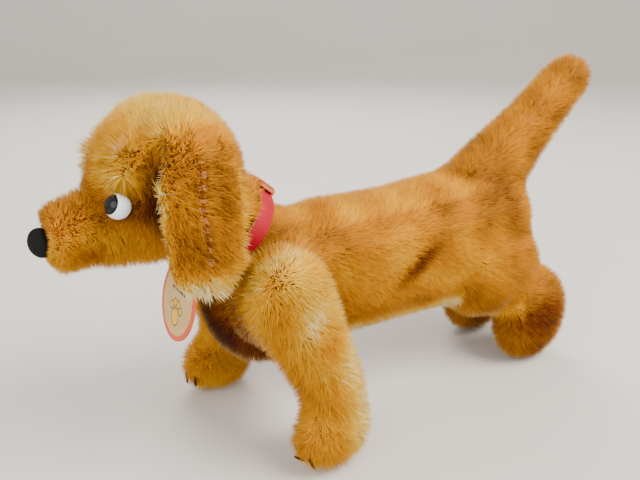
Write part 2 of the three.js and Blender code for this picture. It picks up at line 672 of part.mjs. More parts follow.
function buildCollar() {
  const inner = NECK_RADIUS + COLLAR_SLACK;
  const outer = inner + COLLAR_THICKNESS;
  const middle = (inner + outer) / 2;
  add(dog, 'collar_strap', collarRing(inner, outer, COLLAR_WIDTH), LEATHERETTE);
  add(dog, 'collar_keeper', keeperBand(middle), LEATHERETTE);
  add(dog, 'tag_thread', threadLoop(middle), COTTON);
  add(dog, 'tag_card', tagCard(), TAG_CARD);
}

buildBody();
buildHead();
buildEar('left', 1);
buildEar('right', -1);
buildFrontLeg('left', 1, LEFT_LEG_BACK);
buildFrontLeg('right', -1, RIGHT_LEG_BACK);
buildCollar();

// The origin stands on the ground, under the middle of the whole dog.
const extent = new THREE.Box3().setFromObject(dog, true);
dog.position.y = -(extent.min.y + extent.max.y) / 2;

const plush = new THREE.Group();
plush.add(dog);

export default plush;
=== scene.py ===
"""A jointed mohair plush dachshund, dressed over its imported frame.

Each sewn skin is made from the frame's own panels and stuffing, and mohair pile is planted on it
hair by hair. The collar, tag, eyes, nose and claws are modelled piece by piece.
Metres, +Z up, the dog faces -Y and its left side is +X.
"""

import json
import math

import bmesh
import bpy
import numpy as np
from mathutils import Matrix, Vector


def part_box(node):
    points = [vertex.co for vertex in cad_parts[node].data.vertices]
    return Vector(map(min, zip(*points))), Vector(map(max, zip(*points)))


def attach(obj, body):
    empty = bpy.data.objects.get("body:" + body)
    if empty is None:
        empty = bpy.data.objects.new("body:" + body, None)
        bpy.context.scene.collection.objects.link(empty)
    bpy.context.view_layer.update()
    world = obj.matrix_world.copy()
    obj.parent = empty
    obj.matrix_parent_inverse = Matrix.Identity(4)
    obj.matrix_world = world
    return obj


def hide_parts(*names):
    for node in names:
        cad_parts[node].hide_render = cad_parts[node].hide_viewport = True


MM = 0.001

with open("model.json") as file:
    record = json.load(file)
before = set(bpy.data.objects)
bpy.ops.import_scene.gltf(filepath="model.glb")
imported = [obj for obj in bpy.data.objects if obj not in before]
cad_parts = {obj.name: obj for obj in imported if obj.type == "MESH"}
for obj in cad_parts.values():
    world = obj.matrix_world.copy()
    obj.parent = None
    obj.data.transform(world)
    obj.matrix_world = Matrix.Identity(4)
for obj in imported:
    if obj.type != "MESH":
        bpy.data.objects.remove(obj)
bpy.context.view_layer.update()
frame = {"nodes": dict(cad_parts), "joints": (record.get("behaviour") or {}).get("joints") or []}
nodes = frame["nodes"]
joints = {j["name"]: j for j in frame["joints"]}

# ---------------------------------------------------------------- places, from the frame


def middle(node):
    low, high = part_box(node)
    return (low + high) / 2


def hinge(name):
    return Vector(joints[name]["pos_m"]), Vector(joints[name]["axis"]).normalized()


NECK, NECK_AXIS = hinge("neck_turn")
SIDES = {"left": 1, "right": -1}  # each side's way along X
SHOULDER = {word: hinge(f"shoulder_{word}_turn")[0] for word in SIDES}
EYE = {word: middle(f"eye_{word}") for word in SIDES}
NOSE_PAD = middle("nose_stitching") + Vector((0, -0.0015, -0.0014))  # out through the pile
TAG = middle("tag_card")
TAG_HOLE = hinge("tag_swing")[0]
COLLAR = middle("collar_strap")

# ---------------------------------------------------------------- driving dimensions

BACKING_DEPTH = 4.0 * MM  # how far under a panel's outer face the woven backing lies
EAR_BACKING_DEPTH = 1.7 * MM
BODY_PILE = 4.7 * MM
HEAD_PILE = 4.8 * MM
LEG_PILE = 4.7 * MM
EAR_PILE = 4.4 * MM
EAR_LINING_PILE = 2.6 * MM
JOINT_PRESS = 1.16  # share of the backing's depth that a joint's flat face takes back
JOINT_TRIM = 0.88  # share of the pile's height that a joint's flat face takes off

HAIR_WIDTH = 0.30 * MM
HAIRS_PER_MM2 = 9.0
HAIRS_IN_A_PIECE = 60000
SHORTEST_HAIR = 0.4 * MM
HAIR_ROOT_DEPTH = 0.3 * MM
LOWEST_HAIR = 0.05 * MM
UNDERCOAT_SHARE = 0.35

GUSSET_HALF_WIDTH = 8.5 * MM
SEAM_HALF_WIDTH = 0.8  # of a bare seam in the pile, in mm
EAR_ROOT_PLACE = (-6.3, 0, -5.7)  # from the hinge of a left ear, in mm
EAR_ROOT_HALF = Vector((10, 12.5, 10)) * MM
BROW_PLACE = (-2.4, 2.2, 8.1)  # from the middle of a left eye, in mm
BROW_HALF = Vector((7, 5, 5.5)) * MM

NOSE_HALF = Vector((3.8, 3.3, 4.2)) * MM
NOSE_THREAD = 0.5 * MM
NOSE_RIDGE = 0.035  # height of a stitch, as a share of the nose's radius
NOSE_TILT = math.radians(10)
EYE_RADIUS = 3.6 * MM
EYE_DEPTH = 0.86  # half the eye's depth, in eye radii
EYE_SINK = 1.1 * MM
EYE_GAZE = (0.16, -0.88, 0.45)  # the way from a left eye's middle to its pupil
PUPIL_REACH = 0.92  # chord of the pupil's edge from its middle, in eye radii
# painted reflection: how far the lighter grey in the pupil's middle reaches
PUPIL_REFLECTION_REACH = PUPIL_REACH - 0.16
CLAW_HALF = Vector((0.34, 0.40, 2.5)) * MM
CLAW_STRAND_PITCH = 0.3 * MM
CLAW_SINK = 1.7 * MM

STRAP_WIDTH = 5.8 * MM
STRAP_THICKNESS = 1.1 * MM
STRAP_RADIUS = 13.95 * MM
STRAP_WAVE = 0.006  # how far the strap strays from a circle, as a share of its radius
KEEPER_LENGTH = 5.5 * MM
KEEPER_HEIGHT = STRAP_THICKNESS + 2.2 * MM
KEEPER_WIDTH = STRAP_WIDTH + 1.4 * MM
KEEPER_WALL = 0.7 * MM
TAG_RADIUS = 13.0 * MM
TAG_HOLE_RADIUS = 1.4 * MM
TAG_THICKNESS = 0.7 * MM
TAG_LEAN = math.radians(14)
CARD_RIM = 11.4 * MM
CARD_RING = (9.9 * MM, 10.3 * MM)
CARD_LINE_SPACING = 3.2 * MM
PAW_TOES = ((-3.5, -2.6), (-1.3, -1.1), (1.3, -1.1), (3.5, -2.6))  # on the card, in mm

CAMERA_TURN = math.radians(58)
CAMERA_TILT = math.radians(20)
CAMERA_PLACE = (0.1909, -0.1379, 0.1484)
CAMERA_LENS = 38.25
LIT_POINT = Vector((0, 0, 0.06))

# ---------------------------------------------------------------- shader values


class Value:
    """A shader socket that takes part in Python sums."""

    def __init__(self, finish, socket):
        self.finish = finish
        self.socket = socket

    def sum(self, operation, other, swapped=False):
        pair = (other, self) if swapped else (self, other)
        return self.finish.node("ShaderNodeMath", {0: pair[0], 1: pair[1]}, operation=operation)

    def __add__(self, other):
        return self.sum("ADD", other)

    def __sub__(self, other):
        return self.sum("SUBTRACT", other)

    def __rsub__(self, other):
        return self.sum("SUBTRACT", other, swapped=True)

    def __mul__(self, other):
        return self.sum("MULTIPLY", other)

    def __abs__(self):
        return self.finish.node("ShaderNodeMath", {0: self}, operation="ABSOLUTE")

    def above(self, edge, blur):
        """0 below an edge and 1 above it, with a soft step as wide as the blur."""
        return self.finish.node(
            "ShaderNodeMapRange",
            {"Value": self, "From Min": edge - blur / 2, "From Max": edge + blur / 2},
            interpolation_type="SMOOTHSTEP",
        )

    def below(self, edge, blur):
        return 1 - self.above(edge, blur)

    __radd__ = __add__
    __rmul__ = __mul__


def srgb(red, green, blue):
    """A screen colour from 0 to 255 as the linear colour that shaders take."""
    share = [c / 255 for c in (red, green, blue)]
    return (*[c / 12.92 if c <= 0.04045 else ((c + 0.055) / 1.055) ** 2.4 for c in share], 1)


class Finish:
    """A material with one Principled shader."""

    def __init__(self, name, **constants):
        self.material = bpy.data.materials.new(name)
        self.material.use_nodes = True
        self.tree = self.material.node_tree
        self.shader = self.tree.nodes["Principled BSDF"]
        for socket, value in constants.items():
            self.shader.inputs[socket.replace("_", " ")].default_value = value

    def node(self, kind, sockets=None, output=0, **settings):
        made = self.tree.nodes.new(kind)
        for name, value in settings.items():
            setattr(made, name, value)
        for name, value in (sockets or {}).items():
            self.feed(made.inputs[name], value)
        return Value(self, made.outputs[output])

    def feed(self, socket, value):
        if isinstance(value, Value):
            self.tree.links.new(value.socket, socket)
        else:
            socket.default_value = value

    def drive(self, **links):
        for name, value in links.items():
            self.feed(self.shader.inputs[name.replace("_", " ")], value)

    def place(self):
        return self.node("ShaderNodeTexCoord", output=3)

    def axis(self, vector, letter):
        return self.node("ShaderNodeSeparateXYZ", {0: vector}, output="XYZ".index(letter))

    def noise(self, vector, scale, detail=3.0, roughness=0.5):
        sockets = {"Vector": vector, "Scale": scale, "Detail": detail, "Roughness": roughness}
        return self.node("ShaderNodeTexNoise", sockets)

    def mix(self, share, first, second):
        made = self.tree.nodes.new("ShaderNodeMix")
        made.data_type = "RGBA"
        self.feed(made.inputs[0], share)
        self.feed(made.inputs[6], first)
        self.feed(made.inputs[7], second)
        return Value(self, made.outputs[2])

    def bump(self, height, distance):
        sockets = {"Height": height, "Distance": distance, "Strength": 1.0}
        self.drive(Normal=self.node("ShaderNodeBump", sockets))

    def far_from(self, vector, point):
        sockets = {0: vector, 1: tuple(point)}
        return self.node("ShaderNodeVectorMath", sockets, output=1, operation="DISTANCE")

    def turned(self, vector, origin, rotation):
        """Coordinates about an origin, along axes that are turned by a rotation."""
        moved = self.node("ShaderNodeVectorMath", {0: vector, 1: tuple(origin)}, operation="SUBTRACT")
        inverse = rotation.inverted().to_euler()
        return self.node("ShaderNodeMapping", {"Vector": moved, "Rotation": tuple(inverse)})


# ---------------------------------------------------------------- finishes

# Mohair from red-brown to pale straw, and the bare peach threads of a seam at the end.
MOHAIR = [
    (66, 26, 12), (122, 58, 6), (164, 104, 14), (202, 126, 0), (224, 156, 0), (232, 184, 56),
    (248, 224, 152), (226, 158, 88),
]
PEACH = len(MOHAIR) - 1


def pile_finishes():
    made = []
    for step, colour in enumerate(MOHAIR):
        finish = Finish(
            f"mohair_{step}", Base_Color=srgb(*colour), Roughness=0.65, Specular_IOR_Level=0.1,
            Sheen_Weight=0.6, Sheen_Roughness=0.28, Sheen_Tint=srgb(255, 218, 142),
        )
        made.append(finish.material)
    return made


def backing_finish():
    """Woven backing: tan cloth with a fine weave, and bare orange threads along the seams."""
    finish = Finish("woven_backing", Roughness=0.9, Specular_IOR_Level=0.15)
    place = finish.place()
    from_seam = abs(abs(finish.axis(place, "X")) - GUSSET_HALF_WIDTH)
    seam = from_seam.below(0.9 * MM, 0.6 * MM)
    patches = finish.noise(place, 160, 4)
    cloth = finish.mix(patches, srgb(96, 44, 12), srgb(150, 84, 28))
    threads = finish.mix(finish.noise(place, 2600, 2), srgb(176, 106, 52), srgb(232, 180, 128))
    weave = finish.node("ShaderNodeTexVoronoi", {"Vector": place, "Scale": 1500.0}, feature="F1")
    finish.drive(Base_Color=finish.mix(seam, cloth, threads))
    finish.bump(weave, 0.12 * MM)
    return finish.material


def leather_finish():
    """Smooth crimson leatherette: a fine grain, faint creases and a rubbed bloom."""
    finish = Finish("crimson_leatherette", Specular_IOR_Level=0.25)
    place = finish.place()
    bloom = finish.noise(place, 90, 3)
    grain = finish.node("ShaderNodeTexVoronoi", {"Vector": place, "Scale": 2400.0}, feature="F1")
    creases = finish.noise(place, 420, 6, 0.7)
    colour = finish.mix(bloom, srgb(160, 4, 28), srgb(190, 14, 44))
    finish.drive(
        Base_Color=finish.mix(creases.above(0.62, 0.12), colour, srgb(140, 8, 28)),
        Roughness=0.42 + bloom * 0.2,
    )
    finish.bump(grain + creases * 0.6, 0.05 * MM)
    return finish.material


def cut_edge_finish():
    finish = Finish("cut_leather_edge", Roughness=0.85)
    place = finish.place()
    fibres = finish.noise(place, 1800, 4)
    finish.drive(Base_Color=finish.mix(fibres, srgb(176, 84, 44), srgb(226, 152, 96)))
    finish.bump(fibres, 0.1 * MM)
    return finish.material


def eye_finish(name, centre, pupil_way):
    """Milky glass with a black pupil, and a painted reflection: grey in the pupil's middle, black at
    its rim.
    """
    finish = Finish(name, Roughness=0.1, Specular_IOR_Level=0.22)
    place = finish.place()
    chord = finish.far_from(place, centre + pupil_way * EYE_RADIUS)
    pupil = chord.below(PUPIL_REACH * EYE_RADIUS, 0.1 * MM)
    # Painted reflection: the pupil's middle is a lighter grey than its black rim.
    pupil_reflection = chord.below(PUPIL_REFLECTION_REACH * EYE_RADIUS, 0.3 * MM)
    clouds = finish.noise(place, 500, 2)
    milk = finish.mix(clouds, srgb(214, 218, 224), srgb(240, 241, 243))
    dark = finish.mix(pupil_reflection, srgb(5, 5, 6), srgb(24, 24, 27))
    finish.drive(Base_Color=finish.mix(pupil, milk, dark))
    return finish.material


def thread_finish(name, dark, light, scale):
    """Stitched or twisted thread, with fine fibres across it."""
    finish = Finish(name, Roughness=0.8, Specular_IOR_Level=0.2)
    place = finish.place()
    twist = finish.node(
        "ShaderNodeTexWave", {"Vector": place, "Scale": scale, "Distortion": 2.0, "Detail": 2.0},
        bands_direction="DIAGONAL",
    )
    fibres = finish.noise(place, scale * 3, 3)
    finish.drive(Base_Color=finish.mix(twist * fibres, srgb(*dark), srgb(*light)))
    finish.bump(twist + fibres * 0.5, 0.08 * MM)
    return finish.material


def dot(finish, on_face, x, z, radius):
    """1 inside a disc on the card's face, all in millimetres."""
    return finish.far_from(on_face, (x * MM, 0, z * MM)).below(radius * MM, 0.15 * MM)


def paw_print(finish, on_face, grow):
    """1 inside a plain paw print whose pads are grown by some millimetres."""
    pads = dot(finish, on_face, 0, -5.6, 2.6 + grow)
    for x, z in PAW_TOES:
        pads = pads + dot(finish, on_face, x, z, 1.1 + grow)
    return pads.above(0.5, 0.3)


def card_finish():
    """Printed card: a straw field, an orange-red rim, a thin ring, plain lines and a paw print."""
    finish = Finish("printed_card", Roughness=0.5, Specular_IOR_Level=0.4)
    flat = finish.turned(finish.place(), TAG, Matrix.Rotation(-TAG_LEAN, 3, "X"))
    level = finish.axis(flat, "X")
    height = finish.axis(flat, "Z")
    on_face = finish.node("ShaderNodeCombineXYZ", {"X": level, "Z": height})
    radius = finish.far_from(on_face, (0, 0, 0))
    rim = radius.above(CARD_RIM, 0.15 * MM)
    ring = radius.above(CARD_RING[0], 0.15 * MM) * radius.below(CARD_RING[1], 0.15 * MM)
    sockets = {0: height, 1: CARD_LINE_SPACING / 2}
    from_line = finish.node("ShaderNodeMath", sockets, operation="PINGPONG")
    lines = abs(level).below(5.5 * MM, 0.2 * MM) * from_line.below(0.45 * MM, 0.15 * MM)
    lines = lines * height.above(0.8 * MM, 0.1 * MM) * height.below(6.0 * MM, 0.1 * MM)
    fibres = finish.noise(finish.place(), 900, 4)
    paper = finish.mix(fibres, srgb(190, 152, 92), srgb(212, 178, 116))
    red = finish.mix(fibres, srgb(206, 64, 30), srgb(228, 92, 44))
    ink = finish.mix(fibres, srgb(52, 44, 34), srgb(84, 72, 52))
    printed = finish.mix(rim, paper, red)
    printed = finish.mix(ring, printed, srgb(226, 172, 52))
    printed = finish.mix(lines, printed, ink)
    printed = finish.mix(paw_print(finish, on_face, 0.4), printed, ink)
    gold = srgb(232, 176, 8)
    finish.drive(Base_Color=finish.mix(paw_print(finish, on_face, 0), printed, gold))
    finish.bump(fibres, 0.03 * MM)
    return finish.material


def metal_finish():
    finish = Finish("bright_wire", Base_Color=srgb(176, 178, 180), Metallic=1.0)
    marks = finish.noise(finish.place(), 1200, 4)
    finish.drive(Roughness=0.25 + marks * 0.25)
    return finish.material


def board_finish():
    finish = Finish("fibreboard", Roughness=0.85)
    fibres = finish.noise(finish.place(), 900, 6, 0.7)
    finish.drive(Base_Color=finish.mix(fibres, srgb(108, 78, 48), srgb(160, 124, 84)))
    finish.bump(fibres, 0.1 * MM)
    return finish.material


def floor_finish():
    finish = Finish("pale_floor", Roughness=0.75, Specular_IOR_Level=0.2)
    soft = finish.noise(finish.place(), 6, 3)
    finish.drive(Base_Color=finish.mix(soft, srgb(206, 198, 188), srgb(216, 208, 199)))
    return finish.material


PILE = pile_finishes()
BACKING = backing_finish()
LEATHER = leather_finish()
CUT_EDGE = cut_edge_finish()
BLACK_THREAD = thread_finish("black_thread", (4, 4, 3), (30, 26, 23), 1400.0)
COTTON = thread_finish("cotton_thread", (176, 150, 110), (236, 220, 190), 1800.0)
CARD = card_finish()
METAL = metal_finish()
BOARD = board_finish()

# ---------------------------------------------------------------- making pieces


def corners_of(mesh):
    """The places and normals of a mesh's vertices."""
    place = np.empty(len(mesh.vertices) * 3)
    normal = np.empty(len(mesh.vertices) * 3)
    mesh.vertices.foreach_get("co", place)
    mesh.vertex_normals.foreach_get("vector", normal)
    return place.reshape(-1, 3), normal.reshape(-1, 3)


def piece(name, bm, materials, body, smooth=True):
    """Turns a bmesh into a named piece that rides on a body."""
    mesh = bpy.data.meshes.new(name)
    bm.to_mesh(mesh)
    bm.free()
    return shown(name, mesh, materials, body, smooth)


def shown(name, mesh, materials, body, smooth=True):
    made = bpy.data.objects.new(name, mesh)
    bpy.context.scene.collection.objects.link(made)
    for material in materials:
        mesh.materials.append(material)
    if smooth:
        mesh.shade_smooth()
    if body:
        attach(made, body)
    return made


def modify(made, name, kind, **settings):
    """Gives a piece one modifier and applies it to its mesh."""
    modifier = made.modifiers.new(name, kind)
    for key, value in settings.items():
        setattr(modifier, key, value)
    view = bpy.context.evaluated_depsgraph_get()
    mesh = bpy.data.meshes.new_from_object(made.evaluated_get(view))
    made.modifiers.clear()
    made.data = mesh


def bevel(bm, geom, offset, segments, affect="EDGES"):
    bmesh.ops.bevel(
        bm, geom=geom, offset=offset, segments=segments, profile=0.5, affect=affect, material=-1,
    )


def drawn_out(made, bm, way):
    """Moves the vertices that an extrusion made."""
    verts = [v for v in made["geom"] if isinstance(v, bmesh.types.BMVert)]
    bmesh.ops.translate(bm, vec=way, verts=verts)


def largest_shell(mesh):
    """Keeps only the outermost closed shell of a mesh, and drops the pockets inside it."""
    bm = bmesh.new()
    bm.from_mesh(mesh)
    unseen = set(bm.verts)
    shells = []
    while unseen:
        front = [unseen.pop()]
        shell = set(front)
        while front:
            for edge in front.pop().link_edges:
                for vert in edge.verts:
                    if vert in unseen:
                        unseen.discard(vert)
                        shell.add(vert)
                        front.append(vert)
        shells.append(shell)
    shells.sort(key=len)
    for shell in shells[:-1]:
        bmesh.ops.delete(bm, geom=list(shell), context="VERTS")
    bm.to_mesh(mesh)
    bm.free()


def about(p, point, axis):
    """How far places lie along an axis through a point, and how far from it."""
    offset = p - np.array(point)
    along = offset @ np.array(axis)
    return along, np.linalg.norm(offset - along[:, None] * np.array(axis), axis=1)


def seated(p, n, point, axis, reach):
    """1 on a flat face that meets its neighbour at a joint, falling to 0 past its reach."""
    along, radius = about(p, point, axis)
    near_face = (1 - ease(radius, reach, reach + 2 * MM)) * (1 - ease(np.abs(along), 4 * MM, 7 * MM))
    return near_face * ease(np.abs(n @ np.array(axis)), 0.5, 0.9)


def at_joints(p, n):
    """1 on the faces of the neck and the shoulders."""
    neck = seated(p, n, NECK, NECK_AXIS, 13 * MM)
    sides = [seated(p, n, place, (1, 0, 0), 15 * MM) for place in SHOULDER.values()]
    return np.maximum(neck, np.maximum(*sides))


def pile_room(p, n):
    """How deep the backing lies under a body part's own outer face."""
    at_nose = ease(-p[:, 1], 0.094, 0.106) * (0.5 + 0.6 * ease(-n[:, 1], 0.0, 0.9))
    return BACKING_DEPTH * (1 - JOINT_PRESS * at_joints(p, n)) * (1 - at_nose)


def ear_room(p, n):
    return np.full(len(p), EAR_BACKING_DEPTH)


def add_mounds(bm):
    """Soft mounds on the head: the ears' sewn roots, and a brow that hangs over each eye."""
    for word, sign in SIDES.items():
        ear_edge = hinge(f"ear_{word}_lift")[0]
        mounds = ((ear_edge, EAR_ROOT_PLACE, EAR_ROOT_HALF), (EYE[word], BROW_PLACE, BROW_HALF))
        for start, (across, back, up), half in mounds:
            mound = bmesh.ops.create_uvsphere(bm, u_segments=24, v_segments=16, radius=1.0)
            bmesh.ops.scale(bm, vec=half, verts=mound["verts"])
            place = start + Vector((sign * across, back, up)) * MM
            bmesh.ops.translate(bm, vec=place, verts=mound["verts"])


def skin_of(name, members, voxel, rounds, room, body):
    """A smooth skin under the pile, from the frame's own solids: merged, rounded and let in."""
    bm = bmesh.new()
    if body == "head":
        add_mounds(bm)
    for member in members:
        bm.from_mesh(nodes[member].data)
    bmesh.ops.remove_doubles(bm, verts=bm.verts, dist=1e-6)
    made = piece(name, bm, [], None, smooth=False)
    modify(made, "merge", "REMESH", mode="VOXEL", voxel_size=voxel)
    largest_shell(made.data)
    modify(made, "smoothing", "SMOOTH", factor=0.5, iterations=rounds)
    mesh = made.data
    place, normal = corners_of(mesh)
    place -= normal * room(place, normal)[:, None]
    mesh.vertices.foreach_set("co", place.ravel())
    mesh.update()
    mesh.materials.clear()
    mesh.materials.append(BACKING)
    mesh.shade_smooth()
    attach(made, body)
    return made


# ---------------------------------------------------------------- pile


def ripple(seed, wavelength, count=20):
    """A smooth random field, about -1 to 1, made of crossed waves of one wavelength."""
    dice = np.random.default_rng(seed)
    waves = dice.normal(size=(count, 3))
    waves *= 2 * math.pi / wavelength / np.linalg.norm(waves, axis=1)[:, None]
    phases = dice.uniform(0, 2 * math.pi, count)
    return lambda p: np.sin(p @ waves.T + phases).sum(1) * math.sqrt(2 / count)


def unit(vectors):
    return vectors / np.maximum(np.linalg.norm(vectors, axis=1), 1e-12)[:, None]


def ease(values, start, end):
    """0 before the start and 1 past the end, smoothly between."""
    share = np.clip((values - start) / (end - start), 0, 1)
    return share * share * (3 - 2 * share)


def near(p, point, radius):
    """1 at a point, falling softly to 0 at about twice the radius from it."""
    return np.exp(-(((p - np.array(point)) / np.array(radius)) ** 2).sum(1))


def roots_on(made, density, dice):
    """Random points all over a skin, with the skin's normal at each."""
    mesh = made.data
    mesh.calc_loop_triangles()
    corner = np.empty(len(mesh.loop_triangles) * 3, np.int64)
    mesh.loop_triangles.foreach_get("vertices", corner)
    corner = corner.reshape(-1, 3)
    place, normal = corners_of(mesh)
    a, b, c = (place[corner[:, k]] for k in range(3))
    area = np.linalg.norm(np.cross(b - a, c - a), axis=1) / 2
    count = int(area.sum() / MM**2 * density)
    face = dice.choice(len(area), count, p=area / area.sum())
    u, v = dice.random(count), dice.random(count)
    flip = u + v > 1
    u[flip], v[flip] = 1 - u[flip], 1 - v[flip]
    share = np.stack([1 - u - v, u, v], 1)[:, :, None]
    return (place[corner[face]] * share).sum(1), unit((normal[corner[face]] * share).sum(1))


COMB = [ripple(seed, 9 * MM) for seed in (1, 2, 3)]
TUFT = [ripple(seed, 2.6 * MM) for seed in (4, 5, 6)]
SHADE = ripple(8, 16 * MM)
FLECK = ripple(9, 3.4 * MM)


def plant(name, made, rule, body, seed, density=1.0):
    """Plants pile on a skin by a rule that gives its height, lay and tone at every root."""
    dice = np.random.default_rng(seed)
    share = 1.0
    root, normal = roots_on(made, HAIRS_PER_MM2 * density * share, dice)
    height, lay, tone = rule(root, normal)
    keep = height > SHORTEST_HAIR
    root, normal, height, lay, tone = (x[keep] for x in (root, normal, height, lay, tone))
    count = len(root)
    stand = unit(normal + lay + wander(root, dice))
    under = dice.random(count) < UNDERCOAT_SHARE
    low, tall = dice.uniform(0.5, 0.8, count), dice.uniform(0.88, 1.06, count)
    side = unit(np.cross(stand, dice.normal(size=root.shape)))
    radius = HAIR_WIDTH / math.sqrt(share) * dice.uniform(0.45, 0.65, count)
    tips = root + stand * (height * np.where(under, low, tall))[:, None]
    points, facing = spikes(root, normal, stand, tips, side, radius)
    # Each hair's tone drifts at random, and the shorter undercoat gets painted shade, darker as if
    # deep in the pile.
    tone_jitter_and_undercoat_shade = dice.normal(size=count) * 0.38 - 0.7 * under
    step = np.clip(np.round(tone + tone_jitter_and_undercoat_shade), 0, PEACH - 1)
    step = np.where(tone > PEACH, PEACH, step).astype(int)
    order = np.argsort(root[:, 1])
    for k, part in enumerate(np.array_split(order, math.ceil(count / HAIRS_IN_A_PIECE)), 1):
        hairs(f"{name}_{k}", points[part], facing[part], step[part], body)


def wander(root, dice):
    """How each hair strays: with its lock, with its tuft and by itself."""
    lock = np.stack([field(root) for field in COMB], 1) * 0.07
    tuft = np.stack([field(root) for field in TUFT], 1) * 0.07
    return lock + tuft + dice.normal(size=root.shape) * 0.11


def spikes(root, normal, stand, tips, side, radius):
    """Three foot corners and a tip for every hair, and the way that each is shaded."""
    other = np.cross(stand, side)
    points = np.empty((len(root), 4, 3))
    facing = np.empty((len(root), 4, 3))
    for k in range(3):
        angle = k * math.tau / 3
        outward = side * math.cos(angle) + other * math.sin(angle)
        points[:, k] = root - normal * HAIR_ROOT_DEPTH + outward * radius[:, None]
        facing[:, k] = unit(normal * 0.8 + outward * 0.3)
    points[:, 3] = tips
    facing[:, 3] = unit(normal * 0.8 + stand * 0.3)
    points[:, :, 2] = np.maximum(points[:, :, 2], LOWEST_HAIR)
    return points, facing


def hairs(name, points, facing, step, body):
    """One mesh of fine three-sided spikes, shaded like the skin that they stand on."""
    count = len(points)
    mesh = bpy.data.meshes.new(name)
    mesh.vertices.add(count * 4)
    mesh.vertices.foreach_set("co", points.ravel())
    base = np.arange(count)[:, None] * 4
    corners = base + [0, 1, 3, 1, 2, 3, 2, 0, 3]
    mesh.loops.add(corners.size)
    mesh.loops.foreach_set("vertex_index", corners.ravel())
    mesh.polygons.add(count * 3)
    mesh.polygons.foreach_set("loop_start", np.arange(count * 3) * 3)
    mesh.update(calc_edges=True)
    made = shown(name, mesh, PILE, body)
    mesh.polygons.foreach_set("material_index", np.repeat(step, 3))
    free = mesh.attributes.new("custom_normal", "FLOAT_VECTOR", "POINT")
    free.data.foreach_set("vector", facing.ravel())


# ---------------------------------------------------------------- where the pile changes


def by_the_strap(p):
    """Fuller pile where it bulges on both sides of the strap."""
    along, radius = about(p, NECK, NECK_AXIS)
    near_strap = np.exp(-((np.abs(along) - 5.5 * MM) / (2.2 * MM)) ** 2) * (radius < 16 * MM)
    return 1 + 0.3 * near_strap


def body_rule(p, n):
    x, y, z = p.T / MM
    side = np.abs(x)
    height = BODY_PILE * by_the_strap(p) * (1 - JOINT_TRIM * at_joints(p, n))
    height *= 1 - 0.45 * ease(6 - z, 0, 5)
    lay = np.tile([0.0, 0.14, -0.08], (len(p), 1))
    on_tail = ease(y + 0.4 * (z - 80), 52, 64)  # past the tail's slanting root
    lay += on_tail[:, None] * np.array([0, -0.06, 0.22])
    lay[:, 2] -= 0.15 * ease(34 - z, 0, 12)
    flank = near(p, (0, 0.003, 0.059), (0.05, 0.028, 0.014))
    thigh = near(p, (0, 0.045, 0.052), (0.05, 0.018, 0.011))
    tone = 2.3 + 1.8 * flank + 1.6 * thigh
    # Painted highlight: pile that faces up is made paler, as if lit from above.
    tone += 0.8 * ease(n[:, 2], 0.55, 0.95) * (1 - on_tail)
    tone += 0.3 * on_tail + 0.3 * SHADE(p) + 0.12 * FLECK(p)
    # Painted shade: a dark band where a crease slants over the flank.
    crease_shade_offset = (z - 58) - 0.6 * (y - 13)  # a dark crease that slants over the flank
    tone -= 3.2 * np.exp(-((crease_shade_offset / 3.6) ** 2) - ((y - 11) / 9) ** 2) * (side > 10)
    tone -= 0.7 * near(p, (0, 0.056, 0.072), (0.05, 0.006, 0.018))
    # Painted light: a pale edge under the flank and a pale band over the hind paws, where the hair's
    # ends are lit through; painted shade on the hind toes; and a dark chest.
    tone += 3.0 * ease(43 - z, 0, 5) * (y < 36) * (y > -30) * ease(side, 5, 11)
    tone += 2.2 * np.exp(-(((z - 27) / 3.0) ** 2)) * (y > 32) * (y < 66)
    for sign in SIDES.values():
        tone -= 2.0 * near(p, (sign * 0.028, 0.076, 0.019), (0.011, 0.013, 0.012))
    tone -= 2.6 * near(p, (0, -0.060, 0.043), (0.03, 0.013, 0.013))
    return height, lay, tone


